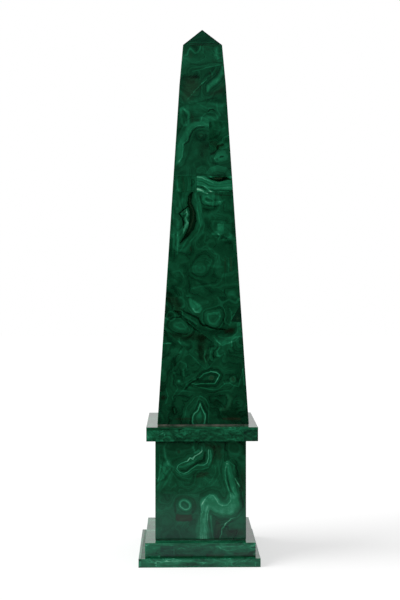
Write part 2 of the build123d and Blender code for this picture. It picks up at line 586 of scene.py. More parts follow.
def closeIdleCuts(piece, stones):
    # a cut with the same stone on both sides is no joint; then each stone gets its tone
    mesh = bmesh.from_edit_mesh(piece.data)
    number, tone, bloom = [mesh.faces.layers.float[n] for n in ("stone", "tone", "bloom")]
    for face in mesh.faces:
        if face[number] == fillerNumber:
            beside = {f[number] for edge in face.edges for f in edge.link_faces if f[number] > 0}
            if len(beside) == 1:
                face[number] = beside.pop()
    for face in mesh.faces:
        face.material_index = 1 if face[number] == fillerNumber else 0
        face[tone], face[bloom] = stones.get(face[number], (slabWork["plain"], 0.0))
        if face[number] == 0:
            face[tone] = slabWork["arris"]
    bmesh.update_edit_mesh(piece.data)


# Stones of the sides that have no laid-out plan
sideStones = {
    "firstTone": (0.36, 0.5),
    "tone": (0.34, 0.54),
    "aside": 12,             # how far a cut may miss the middle of its stone
    "aloft": 15,
    "angles": (-62, -38, -24, -8, 12, 27, 41, 58, 88),
}


def randomCuts(piece, side, first, count, seed):
    # saw cuts for a side, each through the widest stone left
    draw = random.Random(seed)
    along = sides[side]["along"]
    aside, aloft = sideStones["aside"], sideStones["aloft"]
    made = {first: (draw.uniform(*sideStones["firstTone"]), 0.0)}
    for extra in range(1, count + 1):
        mesh, layer = stonesOf(piece)
        areas, centres = {}, {}
        for face in mesh.faces:
            number = face[layer]
            if number > 0:
                area = face.calc_area()
                areas[number] = areas.get(number, 0.0) + area
                centres[number] = centres.get(number, Vector()) + face.calc_center_median() * area
        stone = max(areas, key=areas.get)
        centre = (centres[stone] / areas[stone] - patternStart) / mm
        through = (centre.dot(along) + draw.uniform(-aside, aside), centre.z + draw.uniform(-aloft, aloft))
        sawStone(piece, side, stone, through, draw.choice(sideStones["angles"]), first + extra)
        made[first + extra] = (draw.uniform(*sideStones["tone"]), 0.0)
    return made


# Figures in the stone, listed by stone, in millimetres along the side and up from the floor
def vein(fill, soft, *points, radius=0.5, **more):
    # a streak; each point may give its own radius
    path = [(*p, radius) if len(p) == 2 else p for p in points]
    return {"path": path, "fill": fill, "soft": soft} | more


def ring(x, z, radius, line, width, **more):
    return {"path": [(x, z, radius)], "line": line, "width": width} | more


lowerCourseFigures = {
    10: [
        # teardrop and its outer contour
        vein(0.05, 6, (0.7, 308.5, 0.1), (0.5, 299, 3.2), (0.5, 291, 6.8), (-1, 282, 12.2), (-2, 275, 12),
             line=0.26, width=2.6, leads=True),
        vein(0.08, 5, (0, 290, 1), (-1, 284, 3.5)),
        vein(0, 2, (0.5, 299, 0.1), (0.3, 291, 3.4), (-1, 282, 7.2), (-1, 276, 6.5), line=-0.09, width=2.6),
        vein(-0.05, 5, (-9, 275, 2.5), (7, 275, 2.5), brown=0.06),
        vein(0.14, 2, (1, 323), (12, 315), (18, 303), (17.5, 287), (17, 272), radius=0.8),
        vein(0.09, 2.2, (1, 323), (-5, 311), (-10, 299), (-18, 287), (-20, 275), radius=0.8),
        # leaf
        vein(0.34, 2.2, (0, 357), (8, 364.5), (21, 370, 0.9), (32, 368, 1.1), (38, 363, 0.9),
             (34, 355.5, 0.9), (28.5, 346.3), (18, 345.8), (5, 346), (-8, 345), (-16, 347, 0.3),
             leads=True),
        vein(0.07, 8, (8, 355, 5), (26, 359, 7)),
        ring(22, 357, 4.5, 0.08, 1.8, brown=0.25),
        vein(-0.08, 3, (35, 361, 0.6), (30, 351, 0.6), (12, 350, 0.5)),
        vein(-0.16, 3, (-3, 355, 1), (-18, 347, 1.5), (-26, 338, 1.5)),
        vein(0.13, 2, (-3, 358.5), (-18, 350), (-27, 344), (-32, 334), (-42, 326), (-52, 317)),
        vein(-0.07, 6, (-45, 343, 1.5), (-30, 341, 3), (-24, 333, 2)),
        vein(-0.1, 5, (-12, 367, 2), (-4, 371, 2)),
        vein(0.12, 2, (-6, 362), (-22, 352), (-36, 345), radius=0.4),
        vein(0.16, 2, (-46, 345), (-42, 336), (-49, 328), (-54, 320), (-51, 314)),
        vein(0.22, 3, (-40, 351, 1.2), line=0.08, width=5),
        vein(0.23, 2, (-13, 341.5), (-3, 339.5), (12, 337), (25, 334.6), (36, 336), (43, 341.5), (49, 346),
             (58, 347), (63, 343.5), (75, 341.5), (78.5, 352), (82, 364), (83, 374), radius=0.45),
        vein(-0.1, 4, (5, 331), (28, 329), (44, 334), radius=1),
        vein(0.02, 3, (64, 354.5, 5), line=0.1, width=3, brown=0.12),
        vein(-0.1, 6, (52, 363, 2.5), (70, 364, 2), (74, 352, 2)),
        vein(-0.09, 5, (48, 352, 1.5), (55, 354, 2.5)),
        # soft shapes round them
        vein(0.1, 5, (53, 323, 3), (60, 317, 3), (57, 306, 3.2), (50, 298, 3.2), (42, 297, 3), brown=0.06),
        vein(-0.1, 10, (72, 320, 3.5), (72, 300, 4)),
        vein(-0.06, 16, (36, 318, 6), (36, 290, 8), (64, 288, 8)),
        vein(-0.06, 8, (25, 280, 3), (44, 282, 4)),
        vein(-0.07, 14, (-43, 290, 6), (-42, 280, 6)),
        vein(0.06, 8, (-60, 290, 3), (-56, 280, 3)),
        vein(-0.14, 7, (-72, 320, 4), brown=0.1),
        vein(0.16, 2, (-66, 337), (-62, 322), (-66, 309), radius=0.7),
        vein(0.16, 3, (-50, 298, 1.5), (-49, 291, 1.5), line=-0.1, width=6),
        vein(0.08, 9, (-28, 288, 5)),
        vein(0.16, 4, (-32, 373, 1.2), (-31, 363, 1.8)),
        vein(-0.1, 4, (-38, 376, 1), (-37, 364, 1.5)),
        vein(0.12, 2.2, (-44, 384), (-36, 390), (-26, 384), (-25, 372), radius=0.8),
        vein(0.1, 2.2, (-52, 384), (-52, 370), (-46, 360), radius=0.8),
        vein(-0.1, 4, (45, 278.5, 1.5), (77, 278.5, 2.5), brown=0.35),
        vein(-0.08, 4, (-46, 278, 1), (-18, 279, 1.5), brown=0.2),
        # painted highlight down the shaft's right arris, not a line in the stone
        vein(0.22, 2.5, (84, 375, 0.8), (86, 345, 1)),
        vein(0.32, 2.5, (-71, 425, 0.6), (-56, 425, 0.8)),
        vein(0.16, 1.8, (12, 375), (-2, 386), (-12, 397), (-20, 405), (-27, 401), radius=0.5),
        vein(0.16, 1.6, (15, 376), (35, 394), (48, 404), radius=0.3),
        vein(0.08, 14, (-60, 413, 6), (-34, 408, 8)),
        vein(0.1, 2.5, (-40, 407, 1.6), (-36, 410, 1.2)),
        vein(-0.06, 10, (-64, 389, 3), (-68, 374, 4)),
        vein(-0.06, 12, (-52, 394, 4), (-48, 386, 3)),
    ],
    11: [
        # a bell in the dark wedge between the two long joints, a bright spoon beside it
        vein(-0.09, 14, (6, 436, 8), (4, 412, 9), (10, 396, 9), brown=0.05),
        vein(-0.11, 7, (0, 420, 4), (1, 408, 5), (2, 396, 4.5)),
        vein(-0.07, 6, (10, 398, 2), (20, 403, 3)),
        vein(0.05, 4, (14, 410, 3), (15, 402, 6), (14, 396, 5)),
        vein(-0.1, 5, (21, 417, 2), (29, 418, 2.5)),
        vein(0.09, 6, (12, 430, 2), (20, 426, 2.5)),
        vein(-0.08, 6, (-56, 433, 2), (-44, 432, 2.5)),
        vein(-0.09, 6, (-14, 432, 3)),
        vein(0.08, 2.2, (20, 419), (21, 408), (20, 397), (14, 389), radius=0.9),
        vein(0.17, 2.2, (10, 410), (8, 398), (12, 389), radius=0.9),
        vein(-0.12, 2.5, (27, 412), (27, 394), radius=0.8),
        vein(0.16, 3, (41, 418, 1), (34, 409, 1.6), (35, 400, 2), (42, 399, 2), (49, 405, 1.6),
             (58, 416, 1)),
        vein(0.12, 6, (42, 409, 3), (52, 414, 3)),
        vein(-0.06, 3, (42, 409, 2)),
        vein(0.08, 5, (37, 403, 2.5), (40, 391, 2.5)),
        # dark strokes and rounded light patches at the left
        vein(-0.16, 3.5, (-43, 485, 1.2), (-37, 476, 1.6), (-28, 472, 1.8), (-20, 462, 2), (-10, 454, 2),
             (0, 446, 2)),
        vein(-0.16, 12, (-66, 438, 6), (-34, 437, 4.5), (-10, 438, 7), (4, 434, 7), brown=0.05),
        vein(-0.12, 8, (-62, 442, 4), (-38, 441, 4.5)),
        vein(-0.07, 18, (-58, 476, 8), (-34, 476, 8), (-14, 452, 8)),
        vein(-0.05, 10, (-30, 420, 5), (-10, 420, 6)),
        vein(0.13, 10, (-46, 461, 5), (-37, 459, 7), (-28, 455, 4), leads=True),
        vein(0.1, 2.5, (-52, 472), (-38, 472), (-26, 462), (-18, 450), (-22, 443), radius=0.8),
        vein(0.08, 6, (-60, 427, 2), (-38, 424, 4), (-20, 422, 3)),
        ring(-56, 477, 8.5, 0.12, 2.5),
        vein(-0.08, 4, (-56, 477, 2.5)),
    ],
    12: [
        # dark line below the blob, and a short light dash
        vein(-0.15, 4, (-47, 487, 1.5), (-30, 475, 1.8), (-20, 467, 2), (-8, 458, 1.8)),
        vein(0.1, 3, (33, 481, 1.2), (39, 477, 1.5)),
        # arm of bright bands at the right
        vein(0.12, 6, (76, 470, 1.5), (77, 450, 3), (70, 436, 6.5), (56, 429, 6), (42, 425, 3.5),
             (30, 430, 1)),
        vein(0.14, 2, (73, 462), (73, 446), (64, 437), (48, 434), (36, 437), radius=0.6),
        vein(0.14, 2, (79, 440), (70, 429), (54, 424), (44, 420), (34, 428), (28, 436), radius=0.6),
        vein(-0.1, 2, (77, 438), (66, 431), (50, 429), radius=0.5),
        vein(-0.18, 8, (52, 447, 3.5), (62, 449, 4.5), brown=0.12),
        vein(-0.07, 12, (26, 445, 7), (42, 446, 7)),
        vein(-0.2, 3.2, (-31, 487, 1), (-20, 481.5, 1.4), (-3, 473, 1.6), (2, 463, 2), (7, 459.5, 2),
             (15, 459, 1.6), (24, 455, 1.5), (33, 452, 1.5), (49, 451, 1.2)),
        # rounded triangle
        vein(0.21, 4, (16, 480), (28, 482), (38, 484), (40, 479), (37, 471), (31, 463), (26, 462),
             (20, 464), (16, 471), (16, 480), radius=1.1, leads=True),
        vein(0.06, 6, (24, 476, 3), (30, 473, 4)),
        vein(0.12, 2, (17, 482), (28, 484), (39, 486), radius=0.5),
        # bright blob
        vein(0.16, 5, (-19, 509, 2.5), (-12, 499, 7), (-5, 492, 8.5), line=0.04, width=3),
        vein(0.12, 2.5, (-14, 492), (-9, 485), (0, 484), (5, 491), radius=0.8),
        vein(0.1, 2.5, (-35, 482, 1), (-26, 476, 1.5), (-14, 468, 1.5), (-6, 462, 1.5)),
        vein(0.08, 2.5, (-38, 515), (-26, 504), (-22, 492), (-12, 482)),
        # light loops at the right, brown corner at the left
        vein(0.12, 2.5, (49, 474), (51, 464), (58, 460), (63, 468), (62, 484), (58, 492), radius=0.9),
        vein(-0.1, 3, (46, 472), (47, 460), radius=1.2),
        vein(0.2, 2, (67, 478), (80, 500), radius=0.6),
        vein(0.1, 12, (56, 514, 3), (74, 512, 5)),
        vein(-0.17, 12, (-62, 514, 6), (-50, 508, 8), (-42, 492, 6), brown=0.08),
    ],
    13: [
        # brown spot near the right edge
        vein(0.06, 5, (73, 472, 2.5), brown=0.15),
    ],
}
middleCourseFigures = {
    7: [
        # dark crevice with a duller streak down its middle
        vein(-0.2, 2.5, (-13.5, 722, 0.5), (-18.7, 710, 3.6), (-20.5, 698, 4), (-16.7, 688, 4.7),
             (-14, 677, 6), (-13.2, 664, 6.9), (-16.2, 650, 5.9), (-23, 638, 3.8), (-29, 630, 2.6),
             (-38, 619, 0.8), leads=True),
        vein(0.05, 2, (-19, 709, 0.8), (-20, 697, 1), (-15, 687, 1), (-12.5, 677, 1.4), (-13.5, 664, 1.6),
             (-17.5, 651, 1.2), (-22, 641, 0.6), brown=0.15),
        # pale crystals at its left, with a dark outline
        vein(0.23, 2, (-27, 686, 0.8), (-24.8, 676, 2), (-28.2, 669, 1.5), (-24, 659.5, 2.4),
             (-28, 651.5, 3.3), (-30.5, 645, 2), (-32, 639.5, 0.8), brown=0.12, blend=0.8),
        vein(0.2, 2, (-37, 676.5, 0.7), (-31, 677, 1.1), (-27, 680, 0.9), blend=0.5),
        vein(-0.16, 2, (-20.5, 672, 0.8), (-23, 667, 0.7)),
        vein(0.16, 2, (-36, 678, 0.5), (-31, 682, 0.9), (-29, 685, 0.4), brown=0.1),
        vein(0.13, 2, (-23, 663, 0.3), (-22, 656, 0.9), (-24, 649, 0.4)),
        vein(-0.12, 2, (-25, 655, 0.3), (-28, 647, 0.5)),
        vein(-0.26, 2, (-23, 692, 1), (-33, 684, 0.9), (-41, 677, 1.2), (-35, 670, 0.9), (-31.5, 662, 1.5),
             (-31, 650, 0.9)),
        # light streaks beside them
        vein(0.08, 9, (-8, 718, 1.5), (-3, 702, 4), (-1, 684, 5), (2, 668, 5), (6, 654, 5), (2, 640, 5),
             (-8, 627, 4), (-20, 615, 3), (-30, 605, 2)),
        vein(0.12, 2.2, (-9, 716), (-5, 700), (-5, 684), (-1, 668), (2, 652), (-4, 636), (-18, 622),
             radius=0.6),
        vein(0.12, 2.2, (-3, 714), (1, 700), (3, 684), (8, 668), (9, 652), (6, 640), radius=0.5),
        vein(0.1, 2.2, (-24, 627), (-31, 615), (-38, 603), radius=1.2),
        vein(0.06, 10, (-50, 712, 5), (-50, 650, 5), (-49, 600, 4)),
        vein(0.09, 6, (-33, 706, 3), (-40, 692, 3), (-43, 668, 3), (-42, 640, 3), (-43, 600, 1.5)),
        vein(0.08, 2, (-44, 640), (-43, 630), (-43, 598), radius=0.8),
        vein(0.08, 2, (-51, 690), (-51, 640), (-53, 592)),
        vein(-0.1, 2, (-47, 640), (-48, 615), (-50, 590)),
        # curl below the banded stone
        vein(0.14, 5, (7, 715, 2.5), (7.5, 706, 2.8), (12, 700, 3.2), (20, 697, 3), (30, 697, 3),
             (41, 700, 2.5), (49, 704, 1.2)),
        vein(0.1, 8, (14, 712, 4), (26, 711, 5), (40, 707, 3)),
        vein(0.12, 2, (12, 702), (17, 699), (26, 700), (34, 702), (44, 701), radius=0.5),
        vein(0.13, 2, (11, 711), (16, 711), (22, 707), (27, 703)),
        vein(-0.08, 3, (14.5, 706, 2), (18, 705, 1.5)),
        vein(-0.12, 2.5, (2, 712), (3, 700), (10, 694), (24, 691.5), (40, 693), radius=0.8),
        vein(-0.12, 2.5, (27, 716), (42, 714), (60, 713), radius=0.8, brown=0.1),
        vein(0.3, 2, (6, 719.6), (10, 718.5), (16, 717), radius=0.7),
        vein(-0.07, 10, (12, 686, 3), (18, 680, 4)),
        vein(0.07, 8, (21, 674, 3), (20, 664, 3)),
        vein(0.08, 2.5, (24, 678), (32, 670), (28, 660), (24, 652)),
        # bright and dark flakes round the small inset block
        vein(0.12, 5, (25, 638, 2.5), (34, 640, 3.5), (43, 641, 3.5), (52, 640, 1.5)),
        vein(0.08, 3, (26, 637, 1.2), (34, 635, 2), (45, 636.5, 1.2)),
        vein(0.08, 3, (31, 630, 1), (40, 629.5, 1.2)),
        vein(0.14, 3, (58, 640, 1), (63, 634, 1.8), (56, 630, 1)),
        vein(0.14, 2.5, (37, 637, 1), (40, 633, 1.6), (37, 626, 0.8)),
        vein(-0.12, 3, (43, 628, 1), (47, 631, 2.2), (54, 629, 1)),
        vein(0.12, 2, (46, 625), (57, 626), (64, 631)),
        vein(-0.09, 8, (50, 620, 2), (60, 622, 4), (60, 611, 4)),
        vein(-0.1, 3, (30, 627), (33, 617), (28, 611)),
        # faint rings, the small core brightest
        vein(-0.05, 22, (-12, 596, 9), (6, 592, 10), (12, 582, 8)),
        vein(-0.05, 22, (-22, 552, 10), (-18, 538, 8)),
        vein(-0.04, 20, (10, 551, 8), (30, 550, 10)),
        vein(0.05, 5, (-10, 568, 6.5), (5, 568, 6.5), line=0.05, width=3),
        vein(0.1, 5, (-1, 570.5, 2.5), (2, 570.5, 2.5), leads=True),
        vein(0.08, 3, (5, 607), (24, 609), (33, 598), (34, 584), (28, 573), radius=1),
        vein(0.06, 2.5, (8, 599), (20, 598), (24, 588), (21, 578), radius=0.8),
        vein(0.08, 5, (18, 576, 2), (34, 574, 3), (44, 573, 2)),
        vein(0.09, 2.5, (-15, 531), (0, 535), (30, 536), (41, 544), (47, 560), radius=0.9),
        vein(-0.06, 2.5, (-10, 538), (10, 540), (30, 542), (37, 551), radius=0.9),
        vein(0.07, 2.5, (52, 540), (51, 560), radius=1),
        vein(-0.07, 3, (-30, 600), (-20, 590), (-18, 575), (-28, 560), radius=1),
        vein(-0.05, 3, (-17.5, 611, 1.2), (-17, 604, 1), brown=0.15),
        vein(-0.05, 2, (50, 590), (50, 564), radius=1.2, brown=0.1),
        vein(0.08, 2, (56.5, 590), (56.5, 564), radius=1.3),
        vein(0.01, 2, (61.5, 591), (61.5, 566), radius=1.2, brown=0.18),
        vein(-0.06, 2, (66, 590), (67, 566)),
        vein(0.07, 12, (-52, 558, 6), (-44, 542, 7)),
        vein(0.1, 5, (-48, 547, 1.5), (-45, 545, 1.5)),
        vein(0.09, 2, (-58, 562), (-40, 566), (-32, 556), (-33, 540)),
        vein(-0.16, 9, (-64, 524, 4), (-55, 514, 7), (-46, 506, 5)),
        vein(0.1, 7, (-22, 514, 4), (-14, 508, 4)),
        vein(0.08, 10, (62, 520, 6), (68, 512, 6)),
        vein(0.07, 2.5, (40, 530), (52, 522), (68, 518)),
        vein(0.08, 2.5, (-48, 534), (-30, 528), (-20, 520), (-12, 506)),
    ],
    6: [
        # banded stone, its bands fanning out from the left
        vein(0.16, 3, (-6, 750, 1.4), (5, 748, 1.4), (16, 743, 1.2), (26, 738, 0.8)),
        vein(0.12, 2, (26, 737.5), (40, 738.5), (64, 739.5)),
        vein(0.12, 2, (-6, 744.5), (7, 742), (19, 735.5), (30, 733.5), (70, 735), radius=0.6, leads=True),
        vein(-0.12, 1.8, (-6, 742), (7, 739.5), (18, 733), radius=0.4),
        vein(0.12, 2, (-6, 740), (6, 737.5), (18, 730), (30, 728.5), (64, 730), radius=0.8),
        vein(0.18, 2.2, (-6, 734.2, 0.9), (6, 732.5, 0.9), (15, 726.5, 0.8), (25, 719, 0.3)),
        vein(0.09, 5, (10, 731, 2), (18, 725, 2.5), (24, 721, 1.5)),
        vein(-0.18, 2, (-5, 730), (4, 728.5), (12, 723), radius=0.6),
        vein(-0.14, 1.8, (15, 722), (21, 718), radius=0.5),
        vein(0.15, 2.2, (-5, 725.5, 2.2), (2, 723.8, 1.6), (8, 720.5, 1)),
        vein(-0.12, 2.5, (28, 722, 0.8), (45, 722.5, 1), (64, 721.5, 1)),
        vein(-0.31, 2.5, (16, 748, 0.4), (27, 747, 3), (38, 746.8, 5.5), (48, 747.5, 4), (64, 743.5, 0.6)),
        vein(0, 2.5, (31, 747.6, 1.3), (43, 747.6, 1.3), brown=0.3),
        vein(0.1, 4, (55, 750, 1.5), (62, 749, 1.5)),
    ],
    5: [
        # upright streaks left of the banded stone
        vein(0.1, 7, (-46, 750, 2), (-44, 735, 2), (-41, 725, 4)),
        vein(0.1, 2, (-44, 750), (-43, 735), (-40, 721), radius=0.5),
        vein(-0.06, 4, (-34, 750), (-31, 735), (-30, 722), radius=1.2, brown=0.08),
        vein(0.06, 2, (-24, 750), (-22, 735), (-23, 722), radius=0.6),
        vein(-0.06, 2, (-17, 750), (-15, 735), (-16, 722), radius=0.8),
        vein(0.1, 1.5, (-7.5, 751), (-7.5, 721), radius=0.4),
    ],
}
upperCourseFigures = {
    15: [
        # long pale arc, its outer zone, and the rings inside it
        vein(0.17, 5, (17, 853, 3), (5, 856, 4), (-8, 855, 4.5), (-19, 848, 5), (-27, 835, 5),
             (-33, 822, 5), (-38, 808, 6), (-39, 793, 6), (-41, 781, 4), (-45, 776, 2), leads=True),
        vein(0.13, 2, (9, 852, 0.2), (2, 852), (-6, 850), (-16, 843), (-21, 833), (-24, 822), (-32, 815),
             (-33, 800), (-34, 789), (-40, 780), radius=0.7),
        vein(-0.2, 3, (9, 848.5), (-4, 847), (-13, 840), (-18, 831), (-21, 820), (-29, 813), radius=0.7),
        vein(0.06, 8, (-33, 848, 2), (-36, 836, 4), (-40, 822, 4)),
        vein(0.1, 6, (-40, 866, 1.5), (-39, 848, 1.5)),
        vein(0.09, 5, (-24, 836, 2), (-23, 822, 2)),
        vein(-0.06, 9, (-3, 828, 8), (8, 828, 8)),
        ring(3, 831, 10, -0.05, 4),
        ring(3, 831, 4.5, -0.05, 2.2, brown=0.05),
        vein(0.14, 3, (1, 832), (5, 831), radius=0.7),
        vein(-0.11, 14, (26, 812, 4), (8, 806, 8), (6, 792, 8), brown=0.04),
        vein(-0.08, 8, (16, 797, 3), (30, 796, 4)),
        vein(0.07, 6, (2, 868, 2), (16, 867, 3)),
        vein(-0.07, 12, (-26, 778, 5), (-10, 782, 6), (8, 778, 5)),
        # light zone above the arc
        vein(0.12, 14, (-36, 882, 4), (-12, 888, 8), (16, 887, 8), (42, 886, 9)),
        vein(0.09, 5, (-4, 895, 1.5), (20, 896, 2.5), (38, 892, 3.5), (50, 893, 3)),
        vein(0.05, 7, (-12, 887, 3), (-6, 878, 3)),
        vein(0.12, 9, (4, 864, 3), (16, 865, 6), (30, 866, 5), (38, 872, 3)),
        vein(0.14, 3, (3, 860), (5, 869), (12, 876), (20, 878), (31, 876), (36, 866), radius=0.6),
        vein(0.1, 3, (34, 895), (36, 882), (41, 872), radius=0.8),
        vein(0.09, 3, (2, 893), (14, 886), (23, 886), radius=0.8),
        vein(-0.26, 1.8, (17, 879.5, 0.4), (21, 883.5, 1), (26, 884, 1.2), (31, 881, 0.6)),
        vein(-0.06, 5, (-17, 876, 0.8), (-13, 868, 2.5), (-12, 859, 2.5), (-3, 862, 1.8), brown=0.08),
        # leaf at the left edge
        vein(0.05, 5, (-34, 884, 3), (-29, 872, 8.5), (-28, 859, 7), line=0.12, width=4.5),
        vein(-0.12, 4, (-31, 880, 1), (-26, 870, 2.2), (-25, 866, 1.2)),
        vein(0.1, 4, (-27, 859, 1.5), (-26, 853, 1)),
        vein(-0.07, 4, (-38, 846, 0.8), (-41, 836, 1.2)),
        # stone with a dark eye at the right
        vein(0.15, 3, (30, 787, 2), (37, 792, 4.5), (46, 795, 6.5), (51, 790, 5), (40, 785, 3.5),
             leads=True),
        vein(0.06, 2, (29, 788), (36, 798), (46, 803), (54, 800), radius=0.4),
        vein(0.14, 1.6, (-50, 753.2), (-8, 753.2), radius=0.4),
        vein(0.15, 2, (29, 786), (33, 780), (45, 781), (55, 785), radius=0.5),
        vein(-0.24, 2.4, (41, 789.5, 1.6), (46, 790, 1.4)),
        vein(-0.2, 3, (23, 795, 1.2), (28, 796, 1.4), (35, 804, 1.4), brown=0.05),
        vein(-0.1, 4, (24, 788, 1.5), (27, 778, 1.5), (36, 775, 1)),
        # faint rings and arcs towards the joint
        ring(-4, 774, 7.5, 0.04, 3),
        vein(-0.06, 4, (-6, 769, 1.5)),
        vein(0.1, 6, (18, 756, 3), (24, 764, 3.5), (37, 768, 3.5), (50, 764, 4), (57, 756, 3)),
        vein(0.09, 2.2, (20, 755), (28, 761), (38, 763), (50, 759), radius=0.6),
        vein(0.12, 2, (15, 758), (20, 766), (35, 772), (52, 768), (60, 760), radius=0.5),
        vein(-0.24, 3.5, (22, 751, 0.8), (38, 750.5, 4), (54, 751, 0.8)),
        vein(0.1, 5, (-50, 762, 1), (-52, 756, 1)),
    ],
    2: [
        # dark patch near the top
        vein(-0.09, 8, (-14, 953, 4), (0, 951, 4)),
        # brownish, with a bright patch and a straight light line
        vein(-0.03, 20, (-15, 932, 15), (-24, 912, 9), brown=0.2),
        vein(-0.17, 5, (-31, 949, 2.5), (-18, 948, 3.2), (-2, 948, 2.2)),
        vein(0.24, 1.6, (-22, 904), (-10, 920), (2, 933), (15, 944), radius=0.45),
        vein(-0.1, 2, (-6, 921), (4, 931), (12, 938), radius=0.8),
        vein(0.18, 6, (17, 920, 1.5), (20, 930, 4.5), (28, 937, 5.5), (37, 945, 4), (44, 957, 3.5),
             (46, 968, 2), leads=True),
        vein(0.04, 5, (24, 936, 3), (33, 940, 3)),
        vein(0.05, 6, (16, 918, 2), (18, 930, 3)),
        vein(-0.07, 9, (24, 914, 3), (42, 920, 5), (46, 934, 3), brown=0.12),
        vein(-0.05, 4, (20, 958, 1.5), (24, 948, 1.5), brown=0.08),
        vein(-0.07, 4, (34, 960, 2.5), (34, 955, 1.5), brown=0.06),
        vein(0.12, 2.5, (21, 962), (25, 955), (25, 948), radius=1),
        vein(0.03, 7, (2, 906, 4), (-4, 904, 3)),
        vein(-0.12, 2.4, (-2, 899.3), (16, 903), (34, 906.5), radius=0.8),
    ],
    4: [
        # the dark block at the right
        vein(0.05, 10, (30, 852, 6), (48, 846, 6)),
        vein(0.08, 4, (20, 861, 1.5), (52, 860, 1.5)),
        vein(-0.06, 9, (36, 828, 6), (52, 822, 5)),
        vein(-0.2, 3, (35, 803, 1.2), (37, 811, 2), (46, 814, 2.2), brown=0.05),
        vein(-0.06, 8, (26, 818, 4), (40, 812, 5), brown=0.06),
        vein(0.09, 3, (28, 845), (40, 842), (50, 848), radius=0.8),
        vein(0.08, 5, (52, 815, 2), (54, 806, 2)),
    ],
    1: [
        # wave of light stone at the top, dark under the joint
        vein(0.19, 3.5, (-28, 992, 1), (-24, 993, 1), (-22, 1002, 1.6), (-18, 1006, 2.2), (-13, 1001, 1.4),
             (-9, 996, 1), (-3, 998, 1), (1, 1004, 0.8), (3, 1010, 0.8)),
        vein(-0.12, 4, (-12, 1010, 2), (-5, 1007, 3), (-6, 1002, 1.5)),
        vein(-0.03, 5, (-17, 995, 1.5), (-17, 987, 1.5), brown=0.14),
        vein(0.06, 10, (-27, 984, 3), (-8, 984, 4)),
        vein(0.16, 8, (34, 1004, 3), (34, 992, 3.5), (36, 985, 2)),
        vein(-0.06, 6, (27, 980, 3), (34, 978, 2), brown=0.05),
        vein(-0.05, 6, (18, 1004, 3), (8, 1009, 2), brown=0.05),
        vein(-0.06, 7, (10, 1000, 2.5), (10, 987, 2.5)),
        vein(0.12, 3, (-14, 960, 0.6), (4, 963, 1), (14, 968, 1), (28, 969, 0.8), (44, 973, 1), leads=True),
        vein(-0.14, 3, (-18, 975), (0, 973), (18, 976), (44, 977), radius=0.8),
        vein(0.09, 2, (-10, 966), (6, 970), (18, 973), radius=0.5),
        vein(-0.17, 2.5, (-16, 1012.5), (34, 1011.5), radius=0.8, brown=0.12),
    ],
}
shaftFront = {
    "lower": {
        "first": 10,
        "cuts": [
            (10, (13, 376), -43, 16),
            (16, (13, 376), 40, 11),
            (11, (-20, 463), -38, 12),
            (12, (68, 480), 62, 17),
            (12, (68, 466), -4, 13),
        ],
        "joins": {16: 10, 17: 12},
        "stones": {10: (0.355, 0.0), 11: (0.39, 0.0), 12: (0.425, 0.0), 13: (0.26, 0.05)},
        "figures": lowerCourseFigures,
    },
    "middle": {
        "first": 7,
        "cuts": [
            (7, (0, 720), 0, 6),
            (6, (-5.5, 735), 90, 5),
            (7, (40, 640), 0, 14),
            (14, (40, 658), 0, 18),
            (14, (35, 650), 90, 19),
            (14, (48.5, 650), 90, 8),
            (14, (62, 650), 90, 9),
        ],
        "joins": {14: 7, 18: 7, 19: 7},
        "stones": {5: (0.42, 0.0), 6: (0.61, 0.0), 7: (0.435, 0.0), 8: (0.60, 0.0), 9: (0.41, 0.0)},
        "figures": middleCourseFigures,
    },
    "upper": {
        "first": 15,
        "cuts": [
            (15, (7, 899.5), 10.5, 2),
            (2, (5, 963), 15, 1),
            (15, (30, 861.5), 0, 3),
            (15, (19, 830), 90, 21),
            (15, (30, 803), 0, 4),
        ],
        "joins": {3: 15, 21: 15},
        "stones": {15: (0.41, 0.05), 2: (0.385, 0.08), 1: (0.51, 0.08), 4: (0.365, 0.0)},
        "figures": upperCourseFigures,
    },
}

